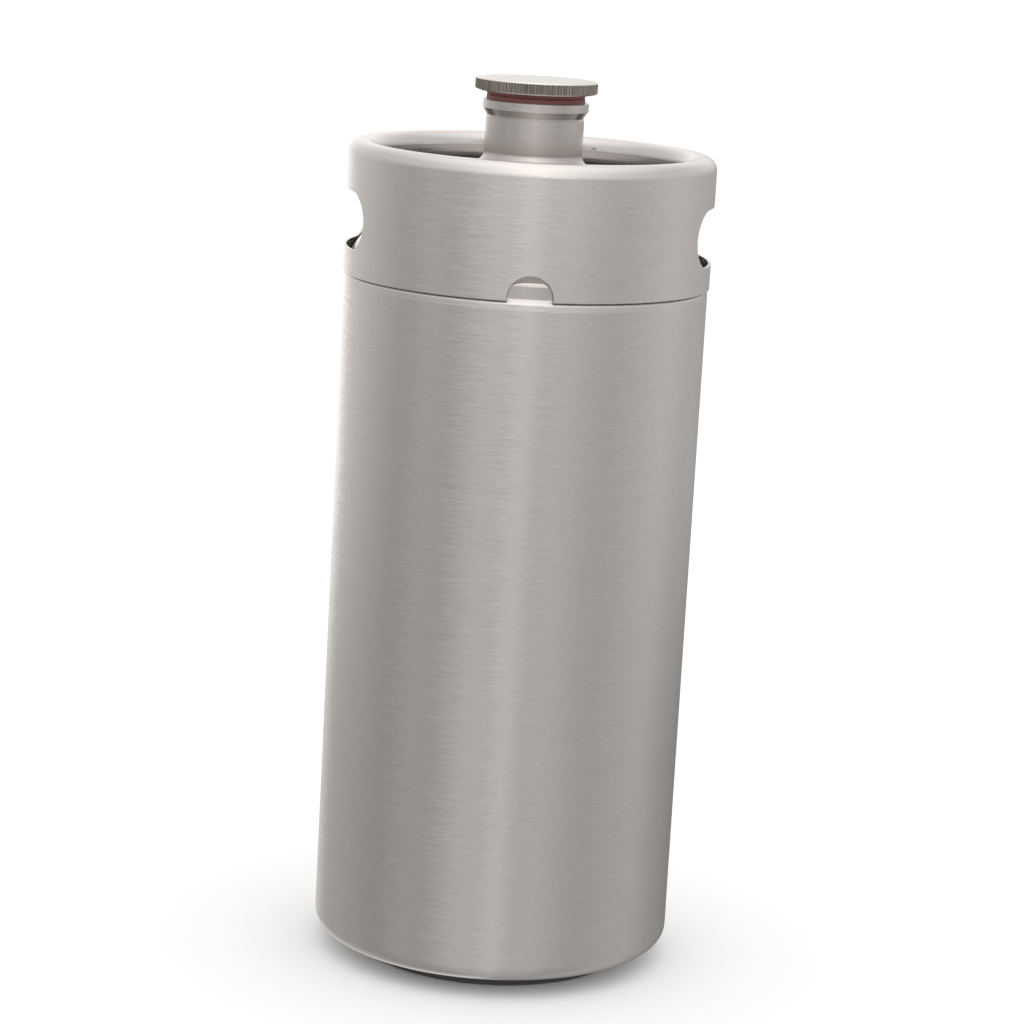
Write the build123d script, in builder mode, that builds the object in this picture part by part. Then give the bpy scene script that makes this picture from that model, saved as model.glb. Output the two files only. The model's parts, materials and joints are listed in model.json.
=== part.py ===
"""A five-litre stainless mini keg: welded vessel, carrying collar and screw cap.

Millimetres, +Z up, origin at the centre of the foot's contact face. The drain notch in the collar
faces -Y and the two hand holes face +X and -X. The vessel is revolved sheet: a tube with a drawn
base pan below it and a drawn shoulder above it, joined by butt welds that are ground flush outside.
"""

import os
from math import cos, radians, sin, tau

from build123d import *

# ---------------------------------------------------------------- driving dimensions
BODY_RADIUS = 75.0  # outside of the vessel
SHEET = 1.0  # vessel wall
FOOT_HEIGHT = 6.8  # floor to the underside of the base pan

# base pan
PAN_TOP_Z = 20.0
PAN_CORNER = 6.8
DISH_RADIUS = 48.0  # where the pressed-in centre of the pan starts
DISH_DEPTH = 9.0
DISH_CROWN = 2.5
DISH_EDGE = 8.0  # bend at the top of the dish's side
DISH_FOOT = 5.0  # bend at the bottom of it
DISH_LAP = 1.0  # how far the section is drawn past the axis before it is trimmed there

# foot ring
FOOT_OUTER = 58.0
FOOT_INNER = 50.5
FOOT_EDGE = 1.4

# shoulder
SHOULDER_SEAM_Z = 278.0
TAPER_Z = 283.0  # where the outside starts to draw in
STEP_RADIUS = 74.8  # outer edge of the step in to the skirt
STEP_Z = 285.6
STEP_BEND = 1.2
SKIRT_RADIUS = 73.6
SKIRT_Z = 287.1
SKIRT_TOP_Z = 293.2
SKIRT_CORNER = 2.6
DOME_EDGE_SLOPE = 56.0  # degrees above horizontal at the skirt
DOME_NECK_SLOPE = 20.0  # degrees above horizontal at the neck
DOME_CROWN_RADIUS = 85.0
NECK_ROOT_Z = 334.9  # where the dome would meet the neck without its fillet
NECK_FILLET = 4.6
NECK_SEAM_Z = 340.5

# neck and mouth
NECK_RADIUS = 20.2
NECK_WALL = 1.2
NECK_TOP_Z = 352.7
NECK_TOP_CHAMFER = 0.35
LIP_RADIUS = 21.75
LIP_TOP_Z = 359.5
LIP_BAND_Z = 355.9
LIP_CHAMFER = 0.35
RING_GROOVE_RADIUS = 19.9
RING_GROOVE_TOP_Z = 353.1
SPIGOT_DEPTH = 4.0
SPIGOT_CLEARANCE = 0.05

# thread between the mouth ring and the plug
PITCH = 3.0
THREAD_TURNS = 2.5
PLUG_TURNS = 2.0
THREAD_CLEARANCE = 0.2  # radial, at crest and root
BORE_ROOT = 17.75  # deepest radius of the inside thread
THREAD_DEPTH = 1.1
RIDGE_ROOT = 1.7  # axial width of a ridge at its root
RIDGE_CREST = 0.9
RIDGE_BURY = 0.3  # how far a ridge runs into its wall
THREAD_START_Z = 350.4  # centre of the inside ridge's first turn
MOUTH_COUNTERSINK = 0.6

# cap and seal
SEAL_OUTER = 20.15
SEAL_INNER = 17.8
SEAL_HEIGHT = 3.5
SEAL_GROOVE = 0.35
DISC_RADIUS = 25.0
DISC_THICKNESS = 4.9
DISC_CHAMFER = 0.6
KNURL_RIDGES = 120
KNURL_DEPTH = 0.4
PLUG_SHANK = 17.5
PLUG_BOTTOM_Z = 349.2
PLUG_BORE = 14.0
PLUG_CHAMFER = 0.8

# collar
COLLAR_RADIUS = 75.6
COLLAR_SHEET = 1.2
COLLAR_BOTTOM_Z = 286.6
COLLAR_TOP_Z = 340.4
COLLAR_EDGE = 0.3  # rounding of the sheet's cut edges
CURL_RADIUS = 5.2
CURL_BENDS = 3
CURL_SIZE = 12.0
CURL_RETURN = 7.5
HOLE_WIDTH = 69.0
HOLE_HEIGHT = 23.2
HOLE_Z = 309.0
NOTCH_WIDTH = 18.3
NOTCH_HEIGHT = 10.1

# weld beads left on the inside
BEAD_WIDTH = 3.0
BEAD_HEIGHT = 0.5
TACK_COUNT = 4
TACK_ARC = 8.0  # degrees of the collar that one tack weld covers
TACK_LOW_Z = 293.4
TACK_HIGH_Z = 297.2
TACK_SLOPE = 1.2  # how far a bead's crown drops from the collar to the dome
TACK_REACH = 3.0

# ---------------------------------------------------------------- worked out
LIP_BOTTOM_Z = NECK_TOP_Z - SPIGOT_DEPTH
DISC_Z = LIP_TOP_Z + SEAL_HEIGHT
BORE_CREST = BORE_ROOT - THREAD_DEPTH
PLUG_CREST = BORE_ROOT - THREAD_CLEARANCE
PLUG_ROOT = BORE_CREST - THREAD_CLEARANCE


def rising_inwards(angle):
    """The direction of a line that rises inwards at angle degrees above horizontal."""
    return (-cos(radians(angle)), sin(radians(angle)))


def crossing(p, a, q, b):
    """Where the line through p along a crosses the line through q along b."""
    turn = a[0] * b[1] - a[1] * b[0]
    along = ((q[0] - p[0]) * b[1] - (q[1] - p[1]) * b[0]) / turn
    return (p[0] + along * a[0], p[1] + along * a[1])


def parallel(path, gap):
    """An open path of straight runs, moved to the left of its travel by gap."""
    runs = []
    for (ax, az), (bx, bz) in zip(path, path[1:]):
        length = ((bx - ax) ** 2 + (bz - az) ** 2) ** 0.5
        way = ((bx - ax) / length, (bz - az) / length)
        runs.append(((ax - gap * way[1], az + gap * way[0]), way, length))
    bends = [crossing(p, a, q, b) for (p, a, _), (q, b, _) in zip(runs, runs[1:])]
    last, way, length = runs[-1]
    end = (last[0] + length * way[0], last[1] + length * way[1])
    return [runs[0][0], *bends, end]


def sheet_outline(path, corners, gap, edge=0):
    """The outline of sheet metal gap thick, lying to the left of path, its two ends rounded by edge.

    corners holds the two bend radii at each inner point of path: on path's own side and behind it.
    """
    front = [pair[0] for pair in corners]
    behind = [pair[1] for pair in reversed(corners)]
    points = [*path, *reversed(parallel(path, gap))]
    FilletPolyline(*points, radius=[edge, *front, edge, edge, *behind, edge], close=True)


def outside_bend(radius, gap):
    """The radii of a bend that closes round the inside of the sheet."""
    return (radius, radius - gap)


def inside_bend(radius, gap):
    """The radii of a bend that opens towards the outside of the sheet."""
    return (radius, radius + gap)


def ridge_outline(base_radius, tip_radius):
    """A thread ridge's section, its foot at base_radius buried in the wall behind it."""
    Polyline(
        (base_radius, -RIDGE_ROOT / 2),
        (tip_radius, -RIDGE_CREST / 2),
        (tip_radius, RIDGE_CREST / 2),
        (base_radius, RIDGE_ROOT / 2),
        close=True,
    )


def bead_outline(radius, z):
    """A weld bead's low crown on the inside of a wall of the given radius."""
    ThreePointArc(
        (radius, z - BEAD_WIDTH / 2),
        (radius - BEAD_HEIGHT, z),
        (radius, z + BEAD_WIDTH / 2),
    )
    Line((radius, z + BEAD_WIDTH / 2), (radius, z - BEAD_WIDTH / 2))


# ---------------------------------------------------------------- vessel
with BuildPart() as body_tube:
    with BuildSketch(Plane.XY.offset(PAN_TOP_Z)):
        Circle(BODY_RADIUS)
        Circle(BODY_RADIUS - SHEET, mode=Mode.SUBTRACT)
    extrude(amount=SHOULDER_SEAM_Z - PAN_TOP_Z)
body_tube.part.label = "body_tube"

with BuildPart() as base_pan:
    with BuildSketch(Plane.XZ):
        with BuildLine():
            sheet_outline(
                [
                    (-DISH_LAP, FOOT_HEIGHT + DISH_DEPTH + DISH_CROWN),
                    (DISH_RADIUS - DISH_DEPTH, FOOT_HEIGHT + DISH_DEPTH),
                    (DISH_RADIUS, FOOT_HEIGHT),
                    (BODY_RADIUS, FOOT_HEIGHT),
                    (BODY_RADIUS, PAN_TOP_Z),
                ],
                [
                    inside_bend(DISH_EDGE, SHEET),
                    outside_bend(DISH_FOOT, SHEET),
                    outside_bend(PAN_CORNER, SHEET),
                ],
                SHEET,
            )
        make_face()
        trim = (Align.MAX, Align.CENTER)
        Rectangle(2 * DISH_LAP, 4 * PAN_TOP_Z, align=trim, mode=Mode.SUBTRACT)
    revolve(axis=Axis.Z)
base_pan.part.label = "base_pan"

with BuildPart() as foot_ring:
    with BuildSketch(Plane.XZ):
        with BuildLine():
            Polyline(
                (FOOT_INNER, 0),
                (FOOT_OUTER, 0),
                (FOOT_OUTER, FOOT_HEIGHT),
                (FOOT_INNER, FOOT_HEIGHT),
                close=True,
            )
        make_face()
    revolve(axis=Axis.Z)
    fillet(foot_ring.edges().group_by(Axis.Z)[0], FOOT_EDGE)
foot_ring.part.label = "foot_ring"

# The shoulder's outside, from its seam with the tube up to its seam with the neck.
skirt_top = (SKIRT_RADIUS, SKIRT_TOP_Z)
neck_root = (NECK_RADIUS, NECK_ROOT_Z)
dome_corner = crossing(
    skirt_top, rising_inwards(DOME_EDGE_SLOPE), neck_root, rising_inwards(DOME_NECK_SLOPE)
)
with BuildPart() as shoulder:
    with BuildSketch(Plane.XZ):
        with BuildLine():
            sheet_outline(
                [
                    (BODY_RADIUS, SHOULDER_SEAM_Z),
                    (BODY_RADIUS, TAPER_Z),
                    (STEP_RADIUS, STEP_Z),
                    (SKIRT_RADIUS, SKIRT_Z),
                    skirt_top,
                    dome_corner,
                    neck_root,
                    (NECK_RADIUS, NECK_SEAM_Z),
                ],
                [
                    (0, 0),
                    outside_bend(STEP_BEND, SHEET),
                    inside_bend(STEP_BEND, SHEET),
                    outside_bend(SKIRT_CORNER, SHEET),
                    outside_bend(DOME_CROWN_RADIUS, SHEET),
                    inside_bend(NECK_FILLET, SHEET),
                ],
                SHEET,
            )
        make_face()
    revolve(axis=Axis.Z)
shoulder.part.label = "shoulder"

with BuildPart() as neck_tube:
    with BuildSketch(Plane.XY.offset(NECK_SEAM_Z)):
        Circle(NECK_RADIUS)
        Circle(NECK_RADIUS - NECK_WALL, mode=Mode.SUBTRACT)
    extrude(amount=NECK_TOP_Z - NECK_SEAM_Z)
    chamfer(
        neck_tube.edges().group_by(Axis.Z)[-1].sort_by(SortBy.RADIUS)[-1], NECK_TOP_CHAMFER
    )
neck_tube.part.label = "neck_tube"

# ---------------------------------------------------------------- mouth ring
with BuildPart() as mouth_ring:
    with BuildSketch(Plane.XZ):
        with BuildLine():
            Polyline(
                (BORE_ROOT, LIP_BOTTOM_Z),
                (NECK_RADIUS - NECK_WALL - SPIGOT_CLEARANCE, LIP_BOTTOM_Z),
                (NECK_RADIUS - NECK_WALL - SPIGOT_CLEARANCE, NECK_TOP_Z),
                (RING_GROOVE_RADIUS, NECK_TOP_Z),
                (RING_GROOVE_RADIUS, RING_GROOVE_TOP_Z),
                (LIP_RADIUS, LIP_BAND_Z),
                (LIP_RADIUS, LIP_TOP_Z - LIP_CHAMFER),
                (LIP_RADIUS - LIP_CHAMFER, LIP_TOP_Z),
                (BORE_ROOT + MOUTH_COUNTERSINK, LIP_TOP_Z),
                (BORE_ROOT, LIP_TOP_Z - MOUTH_COUNTERSINK),
                close=True,
            )
        make_face()
    revolve(axis=Axis.Z)
    with BuildLine():
        inside_helix = Helix(
            pitch=PITCH,
            height=PITCH * THREAD_TURNS,
            radius=BORE_ROOT,
            center=(0, 0, THREAD_START_Z),
        )
    with BuildSketch(Plane(origin=(0, 0, THREAD_START_Z), x_dir=(1, 0, 0), z_dir=(0, -1, 0))):
        with BuildLine():
            ridge_outline(BORE_ROOT + RIDGE_BURY, BORE_CREST)
        make_face()
    sweep(path=inside_helix, is_frenet=True)
mouth_ring.part.label = "mouth_ring"

# ---------------------------------------------------------------- collar
with BuildPart() as collar:
    with BuildSketch(Plane.XZ):
        with BuildLine():
            sheet_outline(
                [
                    (COLLAR_RADIUS, COLLAR_BOTTOM_Z),
                    (COLLAR_RADIUS, COLLAR_TOP_Z),
                    (COLLAR_RADIUS - CURL_SIZE, COLLAR_TOP_Z),
                    (COLLAR_RADIUS - CURL_SIZE, COLLAR_TOP_Z - CURL_SIZE),
                    (COLLAR_RADIUS - CURL_SIZE + CURL_RETURN, COLLAR_TOP_Z - CURL_SIZE),
                ],
                [outside_bend(CURL_RADIUS, COLLAR_SHEET)] * CURL_BENDS,
                COLLAR_SHEET,
                COLLAR_EDGE,
            )
        make_face()
    revolve(axis=Axis.Z)
    with BuildSketch(Plane.YZ):
        with Locations((0, HOLE_Z)):
            SlotOverall(HOLE_WIDTH, HOLE_HEIGHT)
    extrude(amount=2 * COLLAR_RADIUS, both=True, mode=Mode.SUBTRACT)
    fillet(collar.edges(Select.LAST), COLLAR_EDGE)
    with BuildSketch(Plane.XZ):
        with Locations((0, COLLAR_BOTTOM_Z + NOTCH_HEIGHT - NOTCH_WIDTH / 2)):
            Circle(NOTCH_WIDTH / 2)
            Rectangle(NOTCH_WIDTH, NOTCH_WIDTH, align=(Align.CENTER, Align.MAX))
    extrude(amount=2 * COLLAR_RADIUS, mode=Mode.SUBTRACT)
    fillet(
        collar.edges(Select.LAST).filter_by_position(
            Axis.Z, COLLAR_BOTTOM_Z + COLLAR_EDGE, COLLAR_TOP_Z
        ),
        COLLAR_EDGE,
    )
collar.part.label = "collar"

# ---------------------------------------------------------------- cap
with BuildPart() as cap_disc:
    with BuildSketch(Plane.XZ):
        with BuildLine():
            Polyline(
                (0, DISC_Z),
                (DISC_RADIUS - DISC_CHAMFER, DISC_Z),
                (DISC_RADIUS, DISC_Z + DISC_CHAMFER),
                (DISC_RADIUS, DISC_Z + DISC_THICKNESS - DISC_CHAMFER),
                (DISC_RADIUS - DISC_CHAMFER, DISC_Z + DISC_THICKNESS),
                (0, DISC_Z + DISC_THICKNESS),
                close=True,
            )
        make_face()
    revolve(axis=Axis.Z)
    with BuildSketch(Plane.XY.offset(DISC_Z)):
        with BuildLine():
            Polyline(
                *[
                    (radius * cos(turn), radius * sin(turn))
                    for ridge in range(KNURL_RIDGES)
                    for radius, turn in (
                        (DISC_RADIUS, tau * ridge / KNURL_RIDGES),
                        (DISC_RADIUS - KNURL_DEPTH, tau * (ridge + 0.5) / KNURL_RIDGES),
                    )
                ],
                close=True,
            )
        make_face()
    extrude(amount=DISC_THICKNESS, mode=Mode.INTERSECT)
cap_disc.part.label = "cap_disc"

with BuildPart() as cap_plug:
    with BuildSketch(Plane.XZ):
        with BuildLine():
            Polyline(
                (PLUG_BORE, PLUG_BOTTOM_Z),
                (PLUG_ROOT - PLUG_CHAMFER, PLUG_BOTTOM_Z),
                (PLUG_ROOT, PLUG_BOTTOM_Z + PLUG_CHAMFER),
                (PLUG_ROOT, LIP_TOP_Z),
                (PLUG_SHANK, LIP_TOP_Z + PLUG_SHANK - PLUG_ROOT),
                (PLUG_SHANK, DISC_Z),
                (PLUG_BORE, DISC_Z),
                close=True,
            )
        make_face()
    revolve(axis=Axis.Z)
    with BuildLine():
        outside_helix = Helix(
            pitch=PITCH,
            height=PITCH * PLUG_TURNS,
            radius=PLUG_ROOT,
            center=(0, 0, THREAD_START_Z + PITCH / 2),
        )
    with BuildSketch(
        Plane(origin=(0, 0, THREAD_START_Z + PITCH / 2), x_dir=(1, 0, 0), z_dir=(0, -1, 0))
    ):
        with BuildLine():
            ridge_outline(PLUG_ROOT - RIDGE_BURY, PLUG_CREST)
        make_face()
    sweep(path=outside_helix, is_frenet=True)
cap_plug.part.label = "cap_plug"

with BuildPart() as seal:
    with BuildSketch(Plane.XZ):
        with BuildLine():
            Polyline(
                (SEAL_INNER, LIP_TOP_Z),
                (SEAL_OUTER, LIP_TOP_Z),
                (SEAL_OUTER, LIP_TOP_Z + SEAL_HEIGHT / 2 - SEAL_GROOVE),
                (SEAL_OUTER - SEAL_GROOVE, LIP_TOP_Z + SEAL_HEIGHT / 2),
                (SEAL_OUTER, LIP_TOP_Z + SEAL_HEIGHT / 2 + SEAL_GROOVE),
                (SEAL_OUTER, DISC_Z),
                (SEAL_INNER, DISC_Z),
                close=True,
            )
        make_face()
    revolve(axis=Axis.Z)
seal.part.label = "seal"

# ---------------------------------------------------------------- weld beads
with BuildPart() as base_seam_weld:
    with BuildSketch(Plane.XZ):
        with BuildLine():
            bead_outline(BODY_RADIUS - SHEET, PAN_TOP_Z)
        make_face()
    revolve(axis=Axis.Z)
base_seam_weld.part.label = "base_seam_weld"

with BuildPart() as shoulder_seam_weld:
    with BuildSketch(Plane.XZ):
        with BuildLine():
            bead_outline(BODY_RADIUS - SHEET, SHOULDER_SEAM_Z)
        make_face()
    revolve(axis=Axis.Z)
shoulder_seam_weld.part.label = "shoulder_seam_weld"

with BuildPart() as collar_tack_welds:
    for tack in range(TACK_COUNT):
        middle = 360 * (tack + 0.5) / TACK_COUNT
        with BuildSketch(Plane.XZ.rotated((0, 0, middle - TACK_ARC / 2))):
            with BuildLine():
                Polyline(
                    (COLLAR_RADIUS - COLLAR_SHEET, TACK_LOW_Z),
                    (COLLAR_RADIUS - COLLAR_SHEET, TACK_HIGH_Z),
                    (SKIRT_RADIUS - TACK_REACH, TACK_HIGH_Z - TACK_SLOPE),
                    close=True,
                )
            make_face()
    revolve(axis=Axis.Z, revolution_arc=TACK_ARC)
    add(shoulder.part, mode=Mode.SUBTRACT)
collar_tack_welds.part.label = "collar_tack_welds"

os.makedirs("parts", exist_ok=True)
for piece in (
    body_tube,
    base_pan,
    foot_ring,
    shoulder,
    neck_tube,
    mouth_ring,
    collar,
    cap_disc,
    cap_plug,
    seal,
    base_seam_weld,
    shoulder_seam_weld,
    collar_tack_welds,
):
    export_step(piece.part, f"parts/{piece.part.label}.step")
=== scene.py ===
"""Looks of the five-litre mini keg: its materials, the studio and the camera."""

import json
import math

import bpy
from mathutils import Matrix, Vector

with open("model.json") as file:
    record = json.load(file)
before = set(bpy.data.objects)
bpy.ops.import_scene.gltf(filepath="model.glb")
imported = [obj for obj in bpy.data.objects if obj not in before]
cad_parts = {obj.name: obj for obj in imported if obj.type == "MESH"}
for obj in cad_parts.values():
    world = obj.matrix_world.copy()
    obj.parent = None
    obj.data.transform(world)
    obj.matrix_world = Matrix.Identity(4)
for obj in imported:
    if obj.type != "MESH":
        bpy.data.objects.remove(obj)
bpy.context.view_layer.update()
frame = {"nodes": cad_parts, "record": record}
nodes = frame["nodes"]

# ---------------------------------------------------------------- camera
VIEW_DISTANCE = 1.3306  # from the keg's middle to the camera, metres
VIEW_ELEVATION = math.radians(12.293)
VIEW_TURN = math.radians(-1.6)  # the camera stands a little to the left of the drain notch
VIEW_PIVOT_Z = 0.170
AIM = Vector((-0.00025, 0.0, 0.18781))
ROLL = math.radians(3.228)  # the keg's top leans to the right of the picture
LENS_MM = 111.48
SENSOR_MM = 36.0
CLIP_END = 200.0


def add_camera():
    """The camera in front of the keg, looking down on it a little, and rolled."""
    reach = VIEW_DISTANCE * math.cos(VIEW_ELEVATION)
    place = Vector(
        (
            reach * math.sin(VIEW_TURN),
            -reach * math.cos(VIEW_TURN),
            VIEW_PIVOT_Z + VIEW_DISTANCE * math.sin(VIEW_ELEVATION),
        )
    )
    ahead = (AIM - place).normalized()
    side = ahead.cross(Vector((0, 0, 1))).normalized()
    up = side.cross(ahead)
    right = side * math.cos(ROLL) + up * math.sin(ROLL)
    top = up * math.cos(ROLL) - side * math.sin(ROLL)
    camera = bpy.data.cameras.new("camera")
    camera.lens = LENS_MM
    camera.sensor_width = SENSOR_MM
    camera.clip_end = CLIP_END
    rig = bpy.data.objects.new("camera", camera)
    turn = Matrix((right, top, -ahead)).transposed().to_4x4()
    rig.matrix_world = Matrix.Translation(place) @ turn
    bpy.context.scene.collection.objects.link(rig)
    bpy.context.scene.camera = rig


# ---------------------------------------------------------------- studio
WORLD_STRENGTH = 1.15
FLOOR_HALF = 60.0
FLOOR_COLOUR = (0.97, 0.97, 0.97, 1.0)
FLOOR_ROUGHNESS = 0.9
FLOOR_SPECULAR = 0.1
TENT_RADIUS = 1.5
TENT_LOW = -0.6
TENT_HIGH = 1.6
TENT_SIDES = 96
TENT_TINT = (1.03, 1.0, 0.975, 1.0)
TENT_TOP_SHADE = 1.6
TENT_TOP_SIDE = 0.5  # what is left of that at the lid's left and right edges
TENT_TOP_BACK = 0.75  # and at its back edge
TENT_TOP_STARTS = (0.24, 0.66)  # heights over which the sides turn into the top
TENT_FOOT_FADE = 0.42  # how much darker the back of the tent is low down
TENT_FOOT_STARTS = (-0.28, -0.06)
# how bright the tent's side is at each bearing: 0 is the front, 90 its right as seen from there
TENT_SHADES = (
    (-180, 0.95),
    (-168, 1.30),
    (-154, 1.15),
    (-140, 0.80),
    (-118, 0.68),
    (-95, 0.54),
    (-80, 0.45),
    (-60, 0.52),
    (-46, 0.47),
    (-33, 0.58),
    (-22, 0.66),
    (-10, 0.61),
    (-4, 0.735),
    (4, 0.735),
    (10, 0.58),
    (24, 0.63),
    (47, 0.53),
    (59, 0.53),
    (97, 0.71),
    (106, 0.69),
    (128, 0.58),
    (142, 0.53),
    (154, 0.44),
    (168, 0.40),
    (180, 0.70),
)


def add_tent():
    """A ring of soft cards round the keg, bright and grey in turn, that only the steel mirrors."""
    mesh = bpy.data.meshes.new("tent")
    points, faces = [], []
    for side in range(TENT_SIDES):
        turn = math.tau * side / TENT_SIDES
        x, y = TENT_RADIUS * math.sin(turn), -TENT_RADIUS * math.cos(turn)
        points += [(x, y, TENT_LOW), (x, y, TENT_HIGH)]
        after = (side + 1) % TENT_SIDES
        faces.append((2 * side, 2 * after, 2 * after + 1, 2 * side + 1))
    faces.append(range(1, 2 * TENT_SIDES, 2))
    faces.append(range(0, 2 * TENT_SIDES, 2))
    mesh.from_pydata(points, [], faces)
    tent = bpy.data.objects.new("tent", mesh)
    tent.visible_camera = False
    tent.visible_diffuse = False
    tent.visible_shadow = False
    tent.visible_transmission = False
    bpy.context.scene.collection.objects.link(tent)
    paint = bpy.data.materials.new("tent")
    paint.use_nodes = True
    tree = paint.node_tree
    tree.nodes.clear()
    place = tree.nodes.new("ShaderNodeTexCoord")
    split = tree.nodes.new("ShaderNodeSeparateXYZ")
    tree.links.new(place.outputs["Object"], split.inputs[0])
    behind = tree.nodes.new("ShaderNodeMath")
    behind.operation = "MULTIPLY"
    behind.inputs[1].default_value = -1.0
    tree.links.new(split.outputs["Y"], behind.inputs[0])
    bearing = tree.nodes.new("ShaderNodeMath")
    bearing.operation = "ARCTAN2"
    tree.links.new(split.outputs["X"], bearing.inputs[0])
    tree.links.new(behind.outputs[0], bearing.inputs[1])
    share = ranged(tree, bearing.outputs[0], 0.0, 1.0, -math.pi, math.pi)
    ramp = tree.nodes.new("ShaderNodeValToRGB")
    ramp.color_ramp.interpolation = "LINEAR"
    stops = ramp.color_ramp.elements
    while len(stops) > 1:
        stops.remove(stops[-1])
    for index, (degrees, shade) in enumerate(TENT_SHADES):
        where = (degrees + 180) / 360
        stop = stops[0] if index == 0 else stops.new(where)
        stop.position = where
        stop.color = (shade, shade, shade, 1.0)
    tree.links.new(share, ramp.inputs["Fac"])
    height = split.outputs["Z"]
    aside = tree.nodes.new("ShaderNodeMath")
    aside.operation = "ABSOLUTE"
    tree.links.new(split.outputs["X"], aside.inputs[0])
    edge = TENT_TOP_SHADE * TENT_TOP_SIDE
    across = ranged(tree, aside.outputs[0], TENT_TOP_SHADE, edge, 0.0, TENT_RADIUS)
    along = ranged(tree, split.outputs["Y"], 1.0, TENT_TOP_BACK, 0.0, TENT_RADIUS)
    top = mixed_value(tree, 0.0, ramp.outputs["Color"], multiplied(tree, across, along))
    tree.links.new(ranged(tree, height, 0.0, 1.0, *TENT_TOP_STARTS), top.node.inputs["Factor"])
    far = ranged(tree, split.outputs["Y"], 0.0, TENT_FOOT_FADE, -TENT_RADIUS, TENT_RADIUS)
    low = ranged(tree, height, 1.0, 0.0, *TENT_FOOT_STARTS)
    faded = ranged(tree, multiplied(tree, far, low), 1.0, 0.0, 0.0, 1.0)
    glow = tree.nodes.new("ShaderNodeEmission")
    glow.inputs["Color"].default_value = TENT_TINT
    tree.links.new(multiplied(tree, top, faded), glow.inputs["Strength"])
    out = tree.nodes.new("ShaderNodeOutputMaterial")
    tree.links.new(glow.outputs[0], out.inputs["Surface"])
    mesh.materials.append(paint)


def add_studio():
    """A pale floor under an even white sky, with the tent of soft cards round the keg."""
    scene = bpy.context.scene
    scene.view_settings.view_transform = "Standard"
    scene.view_settings.look = "None"
    world = bpy.data.worlds.new("studio")
    scene.world = world
    world.use_nodes = True
    sky = world.node_tree.nodes["Background"]
    sky.inputs["Color"].default_value = (1.0, 1.0, 1.0, 1.0)
    sky.inputs["Strength"].default_value = WORLD_STRENGTH

    mesh = bpy.data.meshes.new("floor")
    h = FLOOR_HALF
    mesh.from_pydata([(-h, -h, 0), (h, -h, 0), (h, h, 0), (-h, h, 0)], [], [(0, 1, 2, 3)])
    floor = bpy.data.objects.new("floor", mesh)
    floor.visible_glossy = False
    scene.collection.objects.link(floor)
    paint = bpy.data.materials.new("floor")
    paint.use_nodes = True
    bsdf = paint.node_tree.nodes["Principled BSDF"]
    bsdf.inputs["Base Color"].default_value = FLOOR_COLOUR
    bsdf.inputs["Roughness"].default_value = FLOOR_ROUGHNESS
    bsdf.inputs["Specular IOR Level"].default_value = FLOOR_SPECULAR
    mesh.materials.append(paint)

    add_tent()


# ---------------------------------------------------------------- materials
CAP_FACE = (0.55, 0.54, 0.515)
# painted highlight: the turned edge's brighter colour stands in for the light it catches
CAP_EDGE_HIGHLIGHT = (0.80, 0.79, 0.74)
# painted shade: the knurl's two colours are darkened to stand in for the shade in its grooves
KNURL_RIDGE_SHADE = (0.34, 0.315, 0.285)
KNURL_GROOVE_SHADE = (0.21, 0.188, 0.168)
KNURL_SHADE_LINES = 1500  # painted groove shade lines: cycles a metre round the rim
KNURL_LENGTH = 60  # and up it
BODY_COLOUR = (0.635, 0.617, 0.602)
NECK_COLOUR = (0.54, 0.52, 0.502)
WELD_COLOUR = (0.55, 0.52, 0.48)
SEAL_COLOURS = (0.19, 0.052, 0.044), (0.155, 0.042, 0.037)
RUBBER_COLOURS = (0.045, 0.042, 0.045), (0.03, 0.028, 0.03)
# heights over which the brushing dies away towards the rolled rim
GRAIN_ENDS = (0.3315, 0.3365)
# distances from the axis over which it does so, which keeps the sheet's inner side plain
BRUSHED_RADII = (0.0728, 0.0744)
# heights between the brushed band under the seam and the bare drawn dome, where the colour turns
# darker: partly the bare steel's own tone, partly painted shade inside the collar
SHOULDER_TURNS = (0.2862, 0.2880)
GRAIN_KEPT = 0.12  # share of the scratches left where they have died away
LEVEL_KEPT = 0.1  # share left on a level face
LEVEL_STARTS = (0.1, 0.7)  # how level a face is where the scratches start to fade and stop
PATCH_LONGER = 5  # a patch of scratches against one scratch: this much longer
PATCH_COARSER = 16  # and this much wider
PATCH_SHARE = 0.2  # share of the patches in the colour
TICKS_SHORTER = 3  # the shortest scratches against the others
TICKS_SHARE = 0.5  # share of them in the tilt
SHADE_STARTS = (0.35, 0.65)  # noise values that give the darkest and the lightest colour
SCRATCH_DEPTH = 0.0002  # metres
ROUND_THE_AXIS = 0.25  # of a turn, from the tangent to the direction of the highlight's stretch
MOTTLE_DEPTH = 0.0001  # metres
MOTTLE_STRENGTH = 0.2
KNURL_TO_HIGHLIGHT_STARTS = (0.2, 0.5)  # how level the cap's surface is from the knurl to the turned edge with its painted highlight and from that painted highlight to the faces
HIGHLIGHT_TO_FACE_STARTS = (0.8, 0.95)  # and from the edge to the faces


def new_material(name):
    """A new node material with a Principled shader: the material, its node tree and the shader."""
    material = bpy.data.materials.new(name)
    material.use_nodes = True
    tree = material.node_tree
    return material, tree, tree.nodes["Principled BSDF"]


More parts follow.
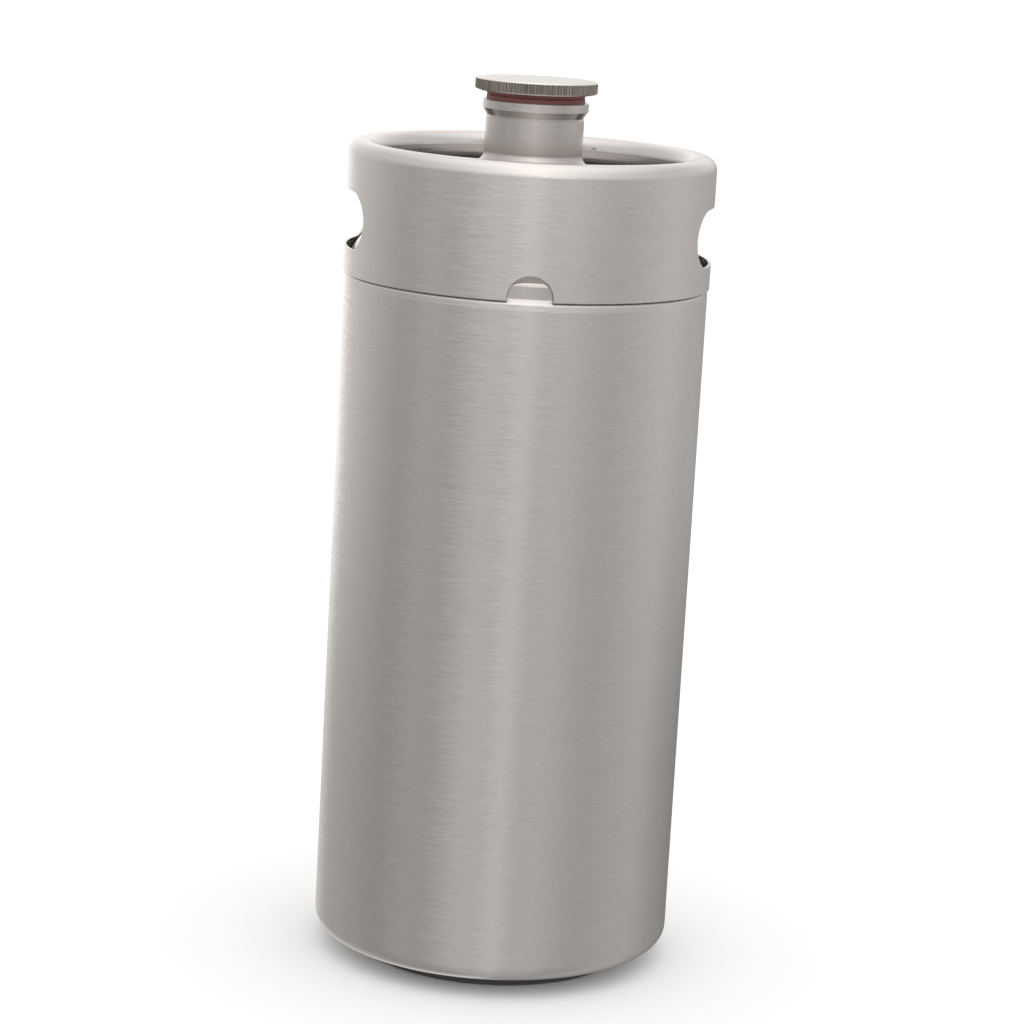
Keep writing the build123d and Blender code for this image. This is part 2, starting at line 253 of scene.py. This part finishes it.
def stretched_noise(tree, scale, detail, roughness=0.55):
    """Noise over the keg's own coordinates, stretched by a scale for each axis.

    The height's scale also runs outwards from the axis, so the grain is as fine on a flat top as on
    an upright wall.
    """
    place = tree.nodes.new("ShaderNodeTexCoord")
    stretch = tree.nodes.new("ShaderNodeMapping")
    stretch.inputs["Scale"].default_value = scale
    tree.links.new(place.outputs["Object"], stretch.inputs["Vector"])
    outwards = tree.nodes.new("ShaderNodeVectorMath")
    outwards.operation = "MULTIPLY"
    outwards.inputs[1].default_value = (scale[2], scale[2], 0.0)
    tree.links.new(place.outputs["Object"], outwards.inputs[0])
    reach = tree.nodes.new("ShaderNodeVectorMath")
    reach.operation = "LENGTH"
    tree.links.new(outwards.outputs["Vector"], reach.inputs[0])
    noise = tree.nodes.new("ShaderNodeTexNoise")
    noise.noise_dimensions = "4D"
    noise.inputs["Scale"].default_value = 1.0
    noise.inputs["Detail"].default_value = detail
    noise.inputs["Roughness"].default_value = roughness
    tree.links.new(stretch.outputs["Vector"], noise.inputs["Vector"])
    tree.links.new(reach.outputs["Value"], noise.inputs["W"])
    return noise.outputs["Fac"]


def ranged(tree, value, low, high, from_low=0.3, from_high=0.7):
    """value, carried from one range to another."""
    node = tree.nodes.new("ShaderNodeMapRange")
    node.inputs["From Min"].default_value = from_low
    node.inputs["From Max"].default_value = from_high
    node.inputs["To Min"].default_value = low
    node.inputs["To Max"].default_value = high
    tree.links.new(value, node.inputs["Value"])
    return node.outputs["Result"]


def multiplied(tree, first, second):
    """The product of two values."""
    node = tree.nodes.new("ShaderNodeMath")
    node.operation = "MULTIPLY"
    tree.links.new(first, node.inputs[0])
    tree.links.new(second, node.inputs[1])
    return node.outputs[0]


def mixed_value(tree, share, first, second):
    """first and second blended, with share of second."""
    node = tree.nodes.new("ShaderNodeMix")
    node.inputs["Factor"].default_value = share
    tree.links.new(first, node.inputs["A"])
    tree.links.new(second, node.inputs["B"])
    return node.outputs["Result"]


def calmed(tree, noise, left):
    """noise drawn in to its middle value, with left of its swing kept."""
    node = tree.nodes.new("ShaderNodeMix")
    node.inputs["A"].default_value = 0.5
    tree.links.new(noise, node.inputs["B"])
    tree.links.new(left, node.inputs["Factor"])
    return node.outputs["Result"]


def mixed(tree, factor, first, second):
    """A colour between first and second."""
    node = tree.nodes.new("ShaderNodeMix")
    node.data_type = "RGBA"
    node.inputs["A"].default_value = (*first, 1.0)
    node.inputs["B"].default_value = (*second, 1.0)
    tree.links.new(factor, node.inputs["Factor"])
    return node.outputs["Result"]


def height_share(tree, low, high):
    """How far the surface is from the height low to the height high, from 0 to 1."""
    place = tree.nodes.new("ShaderNodeTexCoord")
    split = tree.nodes.new("ShaderNodeSeparateXYZ")
    tree.links.new(place.outputs["Object"], split.inputs[0])
    return ranged(tree, split.outputs["Z"], 0.0, 1.0, low, high)


def radius_share(tree, low, high):
    """How far the surface is from the distance low to high off the axis, from 0 to 1."""
    place = tree.nodes.new("ShaderNodeTexCoord")
    flat = tree.nodes.new("ShaderNodeVectorMath")
    flat.operation = "MULTIPLY"
    flat.inputs[1].default_value = (1.0, 1.0, 0.0)
    tree.links.new(place.outputs["Object"], flat.inputs[0])
    reach = tree.nodes.new("ShaderNodeVectorMath")
    reach.operation = "LENGTH"
    tree.links.new(flat.outputs["Vector"], reach.inputs[0])
    return ranged(tree, reach.outputs["Value"], 0.0, 1.0, low, high)


def lying(tree):
    """How level the surface is: 0 on an upright wall, 1 on a flat top or underside."""
    place = tree.nodes.new("ShaderNodeTexCoord")
    lean = tree.nodes.new("ShaderNodeSeparateXYZ")
    tree.links.new(place.outputs["Normal"], lean.inputs[0])
    level = tree.nodes.new("ShaderNodeMath")
    level.operation = "ABSOLUTE"
    tree.links.new(lean.outputs["Z"], level.inputs[0])
    return level.outputs[0]


def brushed_steel(
    name, colour, spread, grain, rough, bump, anisotropy, length=110, swing=0.35, ends=None
):
    """Steel brushed around the axis: fine short scratches in colour, gloss, height and tilt.

    grain is the scratches' scale across the brushing and length along it, in cycles a metre.
    spread is how far the colour strays from its middle, rough the least and the greatest roughness,
    bump the scratches' strength, and swing how far a scratch tilts sideways.
    ends is a pair of heights over which the scratches die away.
    """
    material, tree, bsdf = new_material(name)
    bsdf.inputs["Metallic"].default_value = 1.0
    fine = stretched_noise(tree, (length, length, grain), 3.0, 0.6)
    longer = length / PATCH_LONGER
    patch = stretched_noise(tree, (longer, longer, grain / PATCH_COARSER), 2.0, 0.5)
    shorter = length * TICKS_SHORTER
    ticks = stretched_noise(tree, (shorter, shorter, grain), 2.0, 0.5)
    left = ranged(tree, lying(tree), 1.0, LEVEL_KEPT, *LEVEL_STARTS)
    if ends:
        below = ranged(tree, height_share(tree, *ends), 1.0, GRAIN_KEPT, 0.0, 1.0)
        outside = ranged(tree, radius_share(tree, *BRUSHED_RADII), GRAIN_KEPT, 1.0, 0.0, 1.0)
        left = multiplied(tree, multiplied(tree, left, below), outside)
        fine = calmed(tree, fine, left)
        patch = calmed(tree, patch, left)
    light = tuple(c * (1 + spread) for c in colour)
    dark = tuple(c * (1 - spread) for c in colour)
    shade = ranged(tree, mixed_value(tree, PATCH_SHARE, fine, patch), 0.0, 1.0, *SHADE_STARTS)
    tree.links.new(mixed(tree, shade, dark, light), bsdf.inputs["Base Color"])
    tree.links.new(ranged(tree, fine, *rough), bsdf.inputs["Roughness"])
    bsdf.inputs["Anisotropic"].default_value = anisotropy
    bsdf.inputs["Anisotropic Rotation"].default_value = ROUND_THE_AXIS
    tangent = tree.nodes.new("ShaderNodeTangent")
    tangent.direction_type = "RADIAL"
    tangent.axis = "Z"
    tree.links.new(tangent.outputs["Tangent"], bsdf.inputs["Tangent"])
    facing = tree.nodes.new("ShaderNodeNewGeometry")
    slant = tree.nodes.new("ShaderNodeVectorMath")
    slant.operation = "SCALE"
    tree.links.new(tangent.outputs["Tangent"], slant.inputs[0])
    lean = mixed_value(tree, TICKS_SHARE, fine, ticks)
    sway = ranged(tree, lean, -swing / 2, swing / 2, 0.0, 1.0)
    tree.links.new(multiplied(tree, sway, left), slant.inputs["Scale"])
    tilted = tree.nodes.new("ShaderNodeVectorMath")
    tree.links.new(facing.outputs["Normal"], tilted.inputs[0])
    tree.links.new(slant.outputs["Vector"], tilted.inputs[1])
    unit = tree.nodes.new("ShaderNodeVectorMath")
    unit.operation = "NORMALIZE"
    tree.links.new(tilted.outputs["Vector"], unit.inputs[0])
    relief = tree.nodes.new("ShaderNodeBump")
    relief.inputs["Strength"].default_value = bump
    relief.inputs["Distance"].default_value = SCRATCH_DEPTH
    tree.links.new(multiplied(tree, ticks, left), relief.inputs["Height"])
    tree.links.new(unit.outputs["Vector"], relief.inputs["Normal"])
    tree.links.new(relief.outputs["Normal"], bsdf.inputs["Normal"])
    return material


def knurled_cap_steel():
    """Turned steel: light faces, a painted highlight on the turned edge, and a knurl painted
    darker, with fine lines of painted shade up it for the shade in its grooves.
    """
    material = brushed_steel(
        "cap_steel", CAP_FACE, 0.02, 2400, (0.20, 0.27), 0.03, 0.2, swing=0.05
    )
    tree = material.node_tree
    bsdf = tree.nodes["Principled BSDF"]
    face = bsdf.inputs["Base Color"].links[0].from_socket
    # painted shade: dark lines up the knurl stand in for the shade in its grooves
    lines = stretched_noise(tree, (KNURL_SHADE_LINES, KNURL_SHADE_LINES, KNURL_LENGTH), 2.0)
    knurl = mixed(tree, ranged(tree, lines, 0.0, 1.0, *SHADE_STARTS), KNURL_GROOVE_SHADE, KNURL_RIDGE_SHADE)
    # painted highlight: the turned edge between the knurl and the faces is coloured brighter
    side = mixed(tree, ranged(tree, lying(tree), 0.0, 1.0, *KNURL_TO_HIGHLIGHT_STARTS), KNURL_GROOVE_SHADE, CAP_EDGE_HIGHLIGHT)
    tree.links.new(knurl, side.node.inputs["A"])
    whole = mixed(tree, ranged(tree, lying(tree), 0.0, 1.0, *HIGHLIGHT_TO_FACE_STARTS), CAP_EDGE_HIGHLIGHT, CAP_FACE)
    tree.links.new(side, whole.node.inputs["A"])
    tree.links.new(face, whole.node.inputs["B"])
    tree.links.new(whole, bsdf.inputs["Base Color"])
    return material


def shoulder_steel():
    """The body's brushing up to the step, then the darker bare steel of the dome and the neck, its
    darkness partly the bare steel's own tone and partly painted shade inside the collar.
    """
    material = brushed_steel(
        "drawn_steel", BODY_COLOUR, 0.03, 2100, (0.20, 0.29), 0.12, 0.6, swing=0.3,
        ends=SHOULDER_TURNS,
    )
    tree = material.node_tree
    bsdf = tree.nodes["Principled BSDF"]
    brushed = bsdf.inputs["Base Color"].links[0].from_socket
    # partly painted shade: above the step the colour turns to the darker neck colour, for the shade
    # inside the collar as well as the bare steel's tone
    whole = mixed(tree, height_share(tree, *SHOULDER_TURNS), BODY_COLOUR, NECK_COLOUR)
    tree.links.new(brushed, whole.node.inputs["A"])
    tree.links.new(whole, bsdf.inputs["Base Color"])
    return material


def soft_matte(name, light, dark, rough, speckle):
    """Rubber or silicone: an even matt colour with a faint mottle and fine speckle."""
    material, tree, bsdf = new_material(name)
    mottle = stretched_noise(tree, (speckle, speckle, speckle), 4.0)
    tree.links.new(mixed(tree, ranged(tree, mottle, 0, 1), dark, light), bsdf.inputs["Base Color"])
    tree.links.new(ranged(tree, mottle, *rough), bsdf.inputs["Roughness"])
    relief = tree.nodes.new("ShaderNodeBump")
    relief.inputs["Strength"].default_value = MOTTLE_STRENGTH
    relief.inputs["Distance"].default_value = MOTTLE_DEPTH
    tree.links.new(mottle, relief.inputs["Height"])
    tree.links.new(relief.outputs["Normal"], bsdf.inputs["Normal"])
    return material


def finish_nodes():
    """Gives each CAD node its material."""
    body = brushed_steel(
        "brushed_body", BODY_COLOUR, 0.03, 2100, (0.20, 0.31), 0.15, 0.6, ends=GRAIN_ENDS
    )
    drawn = shoulder_steel()
    neck = brushed_steel(
        "satin_neck", NECK_COLOUR, 0.02, 2600, (0.20, 0.28), 0.06, 0.6, swing=0.06
    )
    cap = knurled_cap_steel()
    weld = brushed_steel("weld_metal", WELD_COLOUR, 0.12, 400, (0.25, 0.45), 0.3, 0.0)
    silicone = soft_matte("seal_silicone", *SEAL_COLOURS, (0.45, 0.6), 900)
    rubber = soft_matte("foot_rubber", *RUBBER_COLOURS, (0.55, 0.7), 700)
    finishes = {
        "brushed_body": body,
        "drawn_steel": drawn,
        "satin_neck": neck,
        "cap_steel": cap,
        "weld_metal": weld,
        "seal_silicone": silicone,
        "foot_rubber": rubber,
    }
    for part in frame["record"]["subparts"]:
        mesh = nodes[part["node"]].data
        material = finishes[part["material_slot"]]
        if not mesh.materials:
            mesh.materials.append(material)
        for index in range(len(mesh.materials)):
            mesh.materials[index] = material


add_camera()
add_studio()
finish_nodes()
